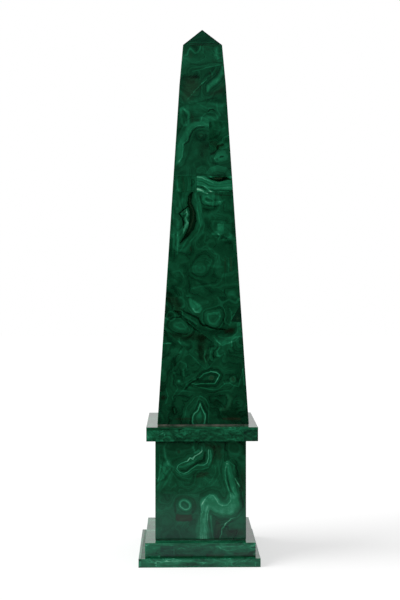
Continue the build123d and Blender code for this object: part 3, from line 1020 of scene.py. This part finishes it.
dieFigures = {
    20: [
        # boot: a jagged upper line, a smooth lower one, dark green just inside
        vein(0.29, 2.2, (4.5, 226, 0.2), (4.5, 217.5, 0.8), (-1.5, 212), (-10, 207.5), (-14, 201.5, 1.6),
             (-19, 203.5, 1), (-24, 197.5), (-33, 195), (-41, 189.5), (-44.5, 182.5), (-39, 176),
             (-31, 173), (-22, 176.5), (-15, 182.5), (-4, 189.5), (8, 189.5), (14.5, 194), (17, 204),
             (16, 213), (17.5, 219), radius=0.7, blend=0.5, leads=True),
        vein(-0.14, 3.5, (-36, 179, 1.2), (-26, 178.5, 1.8), (-16, 187, 2), (-4, 194, 2.5), (8, 198, 3),
             (10, 214, 2.5)),
        vein(0.12, 3, (-38, 186, 2), (-30, 186, 2.5), (-20, 192, 2.5), (-12, 194, 2)),
        vein(0.07, 2.5, (-14, 197), (-2, 203), (5, 208), radius=1.2),
        vein(-0.08, 5, (11, 114, 3.5), (9, 100, 2), (8, 88, 1)),
        vein(0.16, 2.2, (-47, 179), (-36, 170), (-22, 172.5), (-10, 179.5), (8, 182), (17, 186),
             radius=0.6),
        vein(0.1, 2.2, (-45, 172), (-31, 165), (-19, 162.5), (-14, 168), (1, 171), (11, 177)),
        vein(-0.09, 6, (-4, 168, 3), (5, 171, 4.5), (14, 173, 3), brown=0.15),
        vein(0.14, 4, (-13, 225, 1.5), (-10, 214, 2), (-2, 217, 2)),
        vein(0.17, 3, (20, 218, 0.8), (21, 209, 1.5), (21.5, 198, 1.2), (17, 189)),
        vein(-0.12, 3, (27.5, 226, 1.5), (27.5, 208, 1.5), (24, 192, 1), brown=0.12),
        vein(-0.1, 10, (14, 228, 2.5), (34, 222, 6), (37, 204, 4), brown=0.12),
        vein(0.04, 3, (8, 162, 3), (14, 158, 2)),
        vein(-0.08, 6, (30, 214, 2), (30, 192, 3)),
        vein(0.08, 5, (45, 182, 1.5), (45, 160, 1.5)),
        vein(-0.06, 8, (-12, 168, 3), (8, 176, 3), (21, 184, 3)),
        vein(0.09, 2.5, (29, 190), (31, 176), (24, 161), (16, 151), radius=0.8),
        vein(0.08, 2.5, (36, 190), (38, 172), (31, 156), (22, 148), radius=0.8),
        vein(0.05, 3, (-44, 160), (-20, 154), (-4, 150), (10, 142), radius=0.8),
        ring(-41, 215, 5, 0.05, 3),
        vein(-0.06, 4, (-41, 215, 2.5), brown=0.2),
        # fan of streaks at the left
        vein(0.11, 6, (-69, 224, 1.5), (-68, 212, 2.5), (-66, 202, 1.5)),
        vein(0.12, 10, (-62, 196, 4), (-70, 182, 6), (-75, 162, 6), (-80, 144, 2)),
        vein(0.11, 5, (-69, 223), (-66, 202, 1.6), (-60, 191, 1.8), (-50, 185, 1.5)),
        vein(0.12, 5, (-52, 181), (-61, 162, 2.5), (-78, 137)),
        vein(0.1, 4, (-54, 187), (-67, 172, 2), (-82, 148)),
        vein(0.1, 4, (-78, 218), (-77, 190, 1.8), (-80, 158, 1.5)),
        vein(0.08, 3, (-72, 205), (-75, 185), (-81, 160), radius=1),
        vein(-0.12, 2.5, (-72, 196), (-75, 178), (-82, 164), radius=0.8),
        vein(-0.08, 3, (-64, 186), (-72, 162), (-80, 148), radius=0.8),
        vein(0.08, 4, (-52, 172, 1.5), (-60, 150, 1.5)),
        # sweeping band and its pale outer line
        vein(0.215, 5, (53, 199, 0.4), (55, 185, 4.5), (60, 165, 5), (64.5, 148, 4.5), (67, 130, 7.5),
             (65, 114, 9.5), (57, 104, 11), (45, 103.5, 10.5), (34, 108, 10), (22, 119, 13.5),
             (12, 116, 11), (10, 100, 7), (9, 85, 6.5), (8, 65, 9), (9, 44, 11), blend=3, leads=True),
        vein(0.1, 2.4, (53, 200), (49, 190), (48.5, 178), (51, 159), (55.5, 145), (60, 129), (59, 118),
             (53, 111.5), (44, 110.5), (37, 113.5), (31, 122), (26, 129.5), (19, 132), (13, 127),
             (7.5, 119), (3, 112), (3, 104), (6, 97), radius=0.6),
        vein(0.15, 2.6, (52, 192, 0.5), (48.5, 179), (48.8, 164), (52, 151), (56, 140), (58, 128, 0.4),
             radius=0.7),
        vein(0.09, 8, (36, 122, 2), (44, 117, 4), (52, 121, 4), (55, 130, 2)),
        vein(-0.07, 5, (56, 188, 1.5), (59, 170, 3), (64, 150, 3), (68, 140, 3)),
        vein(0.08, 6, (74, 122, 1.5), (77, 110, 3), (73, 101, 3)),
        vein(-0.15, 3, (51.5, 190, 0.8), (54, 165, 1.2), (57, 150, 1.8), (61, 138, 1.4), (66, 131, 0.6)),
        vein(-0.1, 3, (70.5, 156, 1), (71, 146, 1.2), (74, 134, 0.8)),
        vein(0.16, 6, (3, 96, 1), (-1.5, 80, 2.5), (-3.5, 67, 3), (-2, 44, 3)),
        vein(0.08, 2.2, (16, 95), (15.5, 80), (19, 67), (21.5, 44), radius=0.7),
        vein(0.05, 3, (17.5, 102, 1), (17.5, 92, 1.6), (16, 82, 1)),
        vein(0.04, 2.2, (9, 88), (9, 68), (4, 44)),
        vein(0.04, 2.2, (12, 80), (14, 62), (12, 44)),
        vein(-0.08, 2, (6.5, 72), (7, 44)),
        vein(-0.08, 2, (12, 70), (15, 56), (15.5, 44)),
        vein(0.08, 5, (24, 96, 1.5), (40, 90, 2), (52, 90, 1.5)),
        # dark flanks and the pale line beyond
        vein(0.17, 2, (58, 195), (67, 188), (65.5, 180), radius=0.7),
        vein(0.34, 2.2, (68.5, 163), (73.2, 153.5, 0.9), (78, 146), brown=0.2),
        vein(0.12, 2, (79, 144), (83, 135), (85, 122)),
        vein(-0.1, 6, (70, 196, 1.5), (72, 181, 1.5), (74, 168, 3.5)),
        vein(-0.06, 8, (83, 180, 2), (83, 165, 4), (82, 140, 4), brown=0.1),
        vein(-0.12, 5, (79, 143, 3), (82, 126, 1.5), (84, 108, 1.5)),
        vein(0.1, 2.5, (74, 88), (83, 99.5), (88, 109)),
        # pale crack
        vein(0.32, 2.2, (36.5, 44), (38.5, 51), (41.5, 56), (42, 66), (46, 69.5), (49.5, 76, 0.8), (55, 80),
             (60, 85, 0.7), (69, 87.5, 0.3), radius=0.6, blend=0.5, brown=0.12),
        vein(-0.16, 2.5, (44, 60), (53, 73, 1), (64, 82)),
        vein(-0.07, 10, (34, 80, 3), (36, 66, 5), (34, 50, 5), brown=0.22),
        vein(-0.07, 10, (54, 58, 6), (80, 58, 6), brown=0.22),
        vein(0.17, 4, (22, 90), (23.5, 70), (25.5, 48), radius=1.8),
        # shade under the collar
        vein(-0.14, 12, (-90, 235, 3), (90, 235, 3)),
        vein(-0.1, 3, (-90, 236.5, 2), (90, 236.5, 2)),
    ],
    22: [
        # light edge along the joint, and a glow above it
        vein(0.14, 2, (56, 198.5), (84, 208.5)),
        vein(0.07, 10, (54, 212, 5), (74, 210, 5)),
        # shade under the collar
        vein(-0.14, 12, (-90, 235, 3), (90, 235, 3)),
    ],
    28: [
        # left edge of the sweeping band's leg
        vein(0.11, 6, (1, 94, 0.5), (-2.5, 78, 2), (-4, 66, 3.5), (-3.5, 50, 4)),
        # eye in the greyer stone at the lower left
        vein(-0.08, 4, (-46, 99, 1.5), (-48, 112, 2), (-45, 122, 2.5), (-34, 129, 1.2), (-24, 127, 1.8),
             (-13, 122, 3.5), (-10, 112, 4.5), (-13, 99, 2), brown=0.06),
        vein(0, 2, (-31, 113.5, 7.6), (-26.5, 111, 7.8), line=0.14, width=5, leads=True),
        vein(0.07, 4, (-30.5, 114, 2), (-26, 110.5, 2)),
        vein(-0.14, 3, (-43, 92, 2.5), (-41, 87, 6), (-20, 87, 6), (-17, 92, 2.5), brown=0.42),
        vein(-0.06, 3, (-47, 102), (-46, 88), (-41, 82), (-20, 82), (-14, 88), (-12, 100), radius=1),
        vein(0.05, 8, (-54, 66, 4)),
    ],
}
dieFront = {
    "first": 20,
    "cuts": [
        (20, (-0.5, 90), 90, 28),
        (28, (-44, 134), 0, 24),
        (20, (60, 200), 20, 22),
        (22, (47, 210), 90, 25),
    ],
    "joins": {24: 20, 25: 20},
    "stones": {20: (0.46, 0.0), 28: (0.47, 0.05), 22: (0.46, 0.0)},
    "figures": dieFigures,
}

pyramidionFigures = {
    61: [
        # dark arrises, and level streaks over the foot
        vein(-0.2, 2, (-31, 1013), (6.5, 1051), radius=1),
        vein(-0.24, 2, (44, 1013), (6.5, 1051), radius=1.2),
        vein(0.12, 2.2, (-20, 1019.5), (8, 1018.5), (30, 1020), radius=0.7),
        vein(-0.16, 2.5, (-18, 1016), (10, 1015), (36, 1015.5), radius=0.9, brown=0.12),
        vein(0.08, 2.2, (-26, 1014), (34, 1013.5), radius=0.5),
    ],
}
pyramidionPlan = {
    "first": 61,
    "cuts": [],
    "joins": {},
    "stones": {61: (0.285, 0.12)},
    "figures": pyramidionFigures,
}

collarFigures = {
    33: [
        vein(0.3, 2, (-68, 252, 0.6), (-68, 248.5, 0.7)),
        vein(0.2, 2, (-82, 249), (-76, 252), (-67, 257)),
        vein(-0.12, 4, (-80, 244, 1.5), (-70, 243, 1.5)),
        vein(-0.1, 4, (-56, 256, 1.2), (-44, 244, 1.5)),
        vein(0.12, 3, (-48, 254, 1.2), (-34, 246, 1.2)),
        vein(0.03, 3, (-30, 256, 1.2), (-18, 250, 1)),
        vein(-0.1, 3, (-26, 249, 1.2), (-16, 254, 1)),
    ],
    34: [
        vein(-0.12, 3, (8, 251, 1.2), (14, 249, 1.2)),
        vein(0.1, 3, (22, 256, 1), (40, 252, 1.2), (46, 245, 1)),
        vein(-0.1, 5, (44, 249, 3), (60, 247, 4), (80, 246, 4)),
        vein(-0.1, 3, (52, 256, 1.2), (62, 250, 1.2), (70, 244, 1.2)),
        vein(0.08, 3, (72, 259, 1), (82, 257, 1)),
        vein(-0.09, 8, (58, 251, 3), (80, 252, 5)),
    ],
}
collarFront = {
    "first": 31,
    "cuts": [(31, (-84, 250), 86, 32), (31, (-2, 250), 84, 33), (31, (84, 250), 93, 34)],
    "joins": {},
    "stones": {32: (0.49, 0.0), 33: (0.445, 0.05), 34: (0.42, 0.05), 31: (0.42, 0.10)},
    "figures": collarFigures,
}

upperPlinthFigures = {
    44: [
        vein(0.1, 4, (-46, 40.5, 1.5), (28, 40.5, 1.5)),
        vein(-0.12, 5, (14, 20, 2.5), (30, 19, 2.5), brown=0.35),
        vein(-0.1, 4, (-16, 18, 1.5), (14, 18, 1.5)),
        vein(-0.09, 5, (-46, 19, 2), (-16, 19, 2), brown=0.2),
        vein(0.16, 2, (-42, 31), (-36, 34), (-28, 31)),
    ],
    41: [
        vein(-0.08, 4, (30, 19, 2.5), (44, 19, 2.5), brown=0.3),
        vein(0.1, 3, (30, 38, 1.2), (40, 32, 1.5), (52, 28, 1.2), (70, 30, 0.8)),
        vein(0.08, 3, (60, 38, 1.2), (102, 38, 1.5)),
        vein(-0.1, 5, (68, 21, 3), (104, 21, 5), brown=0.22),
        vein(-0.07, 6, (58, 27, 3), (102, 27, 4.5)),
    ],
    43: [
        vein(-0.1, 5, (-76, 19, 2), (-50, 19, 2), brown=0.15),
        vein(0.18, 2.5, (-50, 36, 1), (-50, 22, 1)),
    ],
    42: [
        vein(-0.13, 5, (-108, 19, 3), (-84, 19, 3)),
    ],
}
upperPlinthFront = {
    "first": 41,
    "cuts": [(41, (-76, 30), 90, 42), (41, (-48, 30), 90, 43), (41, (29, 30), 88, 44)],
    "joins": {},
    "stones": {42: (0.62, 0.0), 43: (0.52, 0.15), 44: (0.49, 0.06), 41: (0.50, 0.05)},
    "figures": upperPlinthFigures,
}

lowerPlinthFigures = {
    640: [
        vein(0.08, 4, (-84, 12, 1.2), (-52, 11.5, 1.5), (-18, 11.5, 2)),
        vein(0.06, 4, (26, 11.5, 1.5), (62, 11, 2), (96, 11, 1.5)),
        vein(-0.11, 5, (-74, 3, 1.2), (-50, 3.5, 1.5), (-34, 5, 2.5), (-8, 5, 3), (0, 4, 2)),
        vein(-0.09, 4, (-8, 14, 2), (8, 13, 2)),
        vein(-0.05, 4, (8, 3, 2), (30, 5, 2)),
        vein(0.1, 3, (-84, 9, 1), (-84, 2, 1)),
        vein(0.06, 5, (38, 5, 1), (62, 7, 2)),
        vein(0.08, 3, (106, 8, 1), (107, 2, 1)),
    ],
}

def makeFiller(name, tones, scale, roughness):
    # resin or cement, mottled and faintly uneven
    material = bpy.data.materials.new(name)
    material.use_nodes = True
    tree = material.node_tree
    spot = put(tree, "ShaderNodeTexCoord").outputs["Object"]
    mottle = noise(tree, spot, scale, 4.0, 0.6)["Fac"]
    shader = tree.nodes["Principled BSDF"]
    feed(tree, shader.inputs["Base Color"], paintRamp(tree, mottle, tones))
    feed(tree, shader.inputs["Roughness"], calc(tree, "MULTIPLY_ADD", mottle, 0.2, roughness))
    bump = put(tree, "ShaderNodeBump", {"Height": mottle, "Strength": 0.25, "Distance": 0.3 * mm})
    feed(tree, shader.inputs["Normal"], bump.outputs["Normal"])
    return material


seamFiller = makeFiller("seamFiller", [(0.3, (10, 34, 22)), (0.7, (26, 66, 46))], 90, 0.25)
coreStone = makeFiller("coreStone", [(0.25, (150, 146, 136)), (0.75, (186, 181, 168))], 40, 0.6)
darkBedding = makeFiller("darkBedding", [(0.3, (22, 58, 42)), (0.7, (40, 84, 64))], 120, 0.5)
paleFiller = makeFiller("paleFiller", [(0.25, (40, 48, 40)), (0.45, (84, 92, 80)), (0.62, (122, 116, 106)),
                                       (0.8, (96, 74, 66))], 55, 0.45)


# Figures of the sides that have no laid-out plan. Steps and radii are shares of a figure's size,
# and tips, the radii at both ends, are in millimetres
sideFigures = {
    "smallest": 14,          # a narrower stone has none
    "kinds": ("arc", "patch", "drop", "crevice", "eye", "arc", "patch"),
    "fewest": 2,
    "most": 5,
    "area": 2600,            # of stone for each figure more
    "inset": 0.15,
    "size": (0.10, 0.17),    # share of the stone's width
    "largest": 13,
    "patchFills": (0.09, -0.10, -0.06),
}
figurePaths = {
    "eye": {"step": 0.5, "tips": None, "radii": (0.7, 1, 0.8), "bend": 0.6},
    "drop": {"step": 0.7, "tips": (0.2, 0.3), "radii": (0.3, 0.8, 0.9, 0.5), "bend": 0.5},
    "arc": {"step": 1.7, "tips": (0.5, 0.4), "radii": (0.4, 0.55, 0.45, 0.5), "bend": 0.7},
    "crevice": {"step": 1.3, "tips": (0.3, 0.3), "radii": (0.18, 0.28, 0.2), "bend": 0.5},
    "patch": {"step": 1.2, "tips": None, "radii": (0.8, 1, 0.7), "bend": 0.6},
}


def spansOf(piece, side):
    # the extent of each stone, along and up
    along = sides[side]["along"]
    mesh, layer = stonesOf(piece)
    spans = {}
    for face in mesh.faces:
        if face[layer] > 0:
            for corner in face.verts:
                spot = (corner.co - patternStart) / mm
                spans.setdefault(face[layer], []).append((spot.dot(along), spot.z))
    return {number: (*map(min, zip(*points)), *map(max, zip(*points))) for number, points in spans.items()}


def wanderingPath(draw, x, z, size, kind):
    # a line that sets off at random and keeps bending, with a point for each radius
    plan = figurePaths[kind]
    radii = [share * size for share in plan["radii"]]
    if plan["tips"]:
        radii = [plan["tips"][0], *radii, plan["tips"][1]]
    step = size * plan["step"]
    turn = draw.uniform(0, 2 * math.pi)
    x -= math.cos(turn) * step * len(radii) / 2
    z -= math.sin(turn) * step * len(radii) / 2
    path = []
    for radius in radii:
        path.append((x, z, radius))
        turn += draw.uniform(-0.4, 1.0) * plan["bend"]
        x += math.cos(turn) * step
        z += math.sin(turn) * step
    return path


def randomFigures(spans, seed):
    # figures like those of the front, more of them in the larger stones
    draw = random.Random(seed)
    inset = sideFigures["inset"]
    figures = {}
    for stone, (x0, z0, x1, z1) in spans.items():
        wide = min(x1 - x0, z1 - z0)
        if wide < sideFigures["smallest"]:
            continue
        kinds = list(sideFigures["kinds"])
        draw.shuffle(kinds)
        more = int((x1 - x0) * (z1 - z0) / sideFigures["area"])
        figures[stone] = group = []
        for kind in kinds[:min(sideFigures["most"], sideFigures["fewest"] + more)]:
            x = draw.uniform(x0 + wide * inset, x1 - wide * inset)
            z = draw.uniform(z0 + wide * inset, z1 - wide * inset)
            size = min(wide * draw.uniform(*sideFigures["size"]), sideFigures["largest"])
            path = wanderingPath(draw, x, z, size, kind)
            if kind == "eye":
                group += [vein(-0.05, size, (x, z, size * 1.8)),
                          vein(0.03, 4, *path, line=0.13, width=3.2, leads=True),
                          vein(0.08, 3, (x, z, size * 0.25))]
            elif kind == "drop":
                group.append(vein(0.08, 5, *path, line=0.12, width=2.6, leads=True))
            elif kind == "arc":
                group += [vein(0.12, 5, *path, line=0.05, width=2.5, leads=True),
                          vein(-0.14, 3, *[(px, pz - radius - 1.5, 0.6) for px, pz, radius in path])]
            elif kind == "crevice":
                group += [vein(-0.18, 2.5, *path),
                          vein(0.10, 2.5, *[(px + radius + 2, pz, 0.6) for px, pz, radius in path])]
            else:
                group.append(vein(draw.choice(sideFigures["patchFills"]), size * 1.4, *path, brown=0.05))
    return figures


def isPolished(face, out):
    # the polished face of a facing, without its arrises
    level = Vector((face.normal.x, face.normal.y, 0)).normalized()
    return level.dot(out) > facing and face.normal.dot(out) > leaning


def dressSide(node, side, look, plan=None, cuts=3, first=100, seed=1):
    # one facing: arrises eased, stones sawn and laid, finish with its own figures
    piece = beginPiece(node, node + "_stone")
    out, along = sides[side]["out"], sides[side]["along"]
    easeCorners(piece, side)
    numberStones(piece, lambda face: isPolished(face, out), plan["first"] if plan else first)
    if plan:
        for cut in plan["cuts"]:
            sawStone(piece, side, *cut)
        mesh, layer = stonesOf(piece)
        for face in mesh.faces:
            face[layer] = plan["joins"].get(face[layer], face[layer])
        stones, figures = plan["stones"], plan["figures"]
    else:
        stones = randomCuts(piece, side, first, cuts, seed)
        figures = randomFigures(spansOf(piece, side), seed)
    closeIdleCuts(piece, stones)
    finish = makeStone(node + "_finish", along, up, look, figures)
    endPiece(piece, node, [finish, seamFiller])


# Facings of the square blocks: look and plan of the front, look of the other sides,
# saw cuts of the other sides, and where the numbers of their stones start
blocks = {
    "die": {"look": frontLook, "front": dieFront, "others": sideLook, "cuts": 4, "numbers": 100,
            "slot": "die_malachite"},
    "collar": {"look": collarLook, "front": collarFront, "others": collarLook, "cuts": 3, "numbers": 200,
               "slot": "collar_malachite"},
    "upper_plinth": {"look": ledgeLook, "front": upperPlinthFront, "others": ledgeLook, "cuts": 3,
                     "numbers": 300, "slot": "plinth_malachite"},
}
shaftCuts = 4

seed = 11
for course, plan in shaftFront.items():
    for side in sides:
        seed += 1
        look, laid = (frontLook, plan) if side == "front" else (sideLook, None)
        dressSide(f"shaft_{course}_{side}", side, look, laid, shaftCuts, seed * 10, seed)
print("shaft faced")
for side in sides:
    seed += 1
    dressSide(f"pyramidion_{side}", side, pyramidionLook, pyramidionPlan)
    for name, block in blocks.items():
        look, laid = (block["look"], block["front"]) if side == "front" else (block["others"], None)
        dressSide(f"{name}_{side}", side, look, laid, block["cuts"],
                  seed * 10 + block["numbers"], seed)
print("die, collar and plinths faced")


def atRim(node):
    # the upper arrises of a slab or strip
    low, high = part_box(node)
    hair = 0.1 * mm

    def test(middle, first, second):
        level = abs(middle.z - high.z) < hair
        outside = min(middle.x - low.x, high.x - middle.x, middle.y - low.y, high.y - middle.y) < hair
        return outside and level and abs(first.dot(second)) < square
    return test


def dressPlain(node, plan):
    # a slab or strip in one stone, its upper arrises bevelled where they show
    piece = beginPiece(node, node + "_stone")
    if plan["bevelled"]:
        easeEdges(piece, atRim(node))
    numberStones(piece, lambda face: True, plan["stone"])
    closeIdleCuts(piece, {plan["stone"]: (plan["tone"], 0.0)})
    finish = makeStone(node + "_finish", (1, 0, 0), plan["rise"], plan["look"], plan["figures"])
    endPiece(piece, node, [finish, seamFiller])


# Level slabs and the strips of the lower plinth; their pattern is measured along, and back and up together
plainSlab = {"slot": "plinth_malachite", "look": ledgeLook, "bevelled": True, "rise": (0, 1, 1),
             "figures": {}}
slabs = {
    "collar_top": {"slot": "collar_malachite", "tone": 0.60, "stone": 600},
    "collar_underside": {"slot": "collar_malachite", "tone": 0.34, "stone": 610, "bevelled": False},
    "upper_plinth_top": {"tone": 0.62, "stone": 620},
    "lower_plinth_top": {"look": treadLook, "tone": 0.50, "stone": 630, "bevelled": False},
    "lower_plinth_front": {"look": stepLook, "tone": 0.61, "stone": 640, "rise": up,
                           "figures": lowerPlinthFigures},
    "lower_plinth_right": {"tone": 0.64, "stone": 650},
    "lower_plinth_back": {"tone": 0.64, "stone": 660},
    "lower_plinth_left": {"tone": 0.64, "stone": 670},
}
for node, plan in slabs.items():
    dressPlain(node, plainSlab | plan)
print("ledges and lower plinth faced")

inside = {node: coreStone for node in frame["nodes"] if node.endswith("_core")}
for node, material in (inside | {"die_bed": darkBedding, "shaft_bed": paleFiller}).items():
    holder = frame["nodes"][node]
    holder.data.materials.clear()
    holder.data.materials.append(material)
print("cores and beds finished")


# Stage: pale floor, a white world for a backdrop, soft light from the upper left
stageSet = {
    "across": 14.0,
    "paper": 0.45,           # how much light the floor returns
    "lift": 0.57,            # light of its own, so that only the shadow shows on it
    "mirrored": 0.42,        # how bright the near floor is in the polished stone
    "mirrorTint": (0.84, 1.0, 1.2),
    "mirrorFade": (0.45, 0.80),      # the mirrored floor dims between these distances
    "ambient": 0.52,
    "backdropFoot": (0.0, 0.15),     # the mirrored backdrop rises, ends and starts behind, by direction
    "backdropHead": (0.36, 0.60),
    "backdropBehind": (0.0, 0.5),
    "sun": 3.2,
    "sunFrom": (-0.82, -0.17, 0.55),
    "sunSpread": 46,         # in degrees; wider is softer
}
white = (1, 1, 1, 1)


def makeFloor():
    bpy.ops.object.select_all(action="DESELECT")
    bpy.ops.mesh.primitive_plane_add(size=stageSet["across"])
    floor = bpy.context.object
    floor.name = "floor"
    material = bpy.data.materials.new("paperFloor")
    material.use_nodes = True
    tree = material.node_tree
    tree.nodes.clear()
    paths = put(tree, "ShaderNodeLightPath").outputs
    matt = put(tree, "ShaderNodeBsdfDiffuse", {"Color": (*[stageSet["paper"]] * 3, 1)})
    lift = put(tree, "ShaderNodeEmission", {"Color": white, "Strength": stageSet["lift"]})
    shown = put(tree, "ShaderNodeAddShader")
    feed(tree, shown.inputs[0], matt.outputs[0])
    feed(tree, shown.inputs[1], lift.outputs[0])
    # what polished stone sees of the floor dims away from the obelisk
    far = calcVector(tree, "LENGTH", put(tree, "ShaderNodeTexCoord").outputs["Object"])
    bright = eased(tree, far, *stageSet["mirrorFade"], stageSet["mirrored"], 0.0)
    seen = put(tree, "ShaderNodeEmission", {"Color": (*stageSet["mirrorTint"], 1), "Strength": bright})
    both = put(tree, "ShaderNodeMixShader")
    for socket, value in enumerate((paths["Is Glossy Ray"], shown.outputs[0], seen.outputs[0])):
        feed(tree, both.inputs[socket], value)
    put(tree, "ShaderNodeOutputMaterial", {"Surface": both.outputs[0]})
    material.cycles.emission_sampling = "NONE"
    floor.data.materials.append(material)


def makeWorld():
    world = bpy.data.worlds.new("studioWorld")
    world.use_nodes = True
    tree = world.node_tree
    background = tree.nodes["Background"]
    direction = put(tree, "ShaderNodeTexCoord").outputs["Generated"]
    parts = put(tree, "ShaderNodeSeparateXYZ", {"Vector": direction}).outputs
    paths = put(tree, "ShaderNodeLightPath").outputs
    low = eased(tree, parts["Z"], *stageSet["backdropFoot"], 0.0, 1.0)
    high = eased(tree, parts["Z"], *stageSet["backdropHead"], 1.0, 0.0)
    behind = eased(tree, parts["Y"], *stageSet["backdropBehind"], 0.0, 1.0)
    backdrop = calc(tree, "MULTIPLY", calc(tree, "MULTIPLY", low, high), behind)
    # the mix node's value sockets are 2 and 3
    light = put(tree, "ShaderNodeMix", data_type="FLOAT")
    for socket, value in {0: paths["Is Glossy Ray"], 2: stageSet["ambient"], 3: backdrop}.items():
        feed(tree, light.inputs[socket], value)
    seen = calc(tree, "MAXIMUM", paths["Is Camera Ray"], paths["Is Transmission Ray"])
    background.inputs["Color"].default_value = white
    feed(tree, background.inputs["Strength"], calc(tree, "MAXIMUM", light.outputs[0], seen))
    world.cycles.sampling_method = "NONE"        # an even world needs no samples of its own
    bpy.context.scene.world = world


def makeSun():
    bpy.ops.object.light_add(type="SUN")
    sun = bpy.context.object
    sun.name = "softSun"
    sun.data.energy = stageSet["sun"]
    sun.data.angle = math.radians(stageSet["sunSpread"])
    sun.rotation_euler = (-Vector(stageSet["sunFrom"])).to_track_quat("-Z", "Y").to_euler()
    sun.visible_glossy = False


makeFloor()
makeWorld()
makeSun()
setCamera()
bpy.context.scene.view_settings.view_transform = "Standard"
print("stage and camera set")
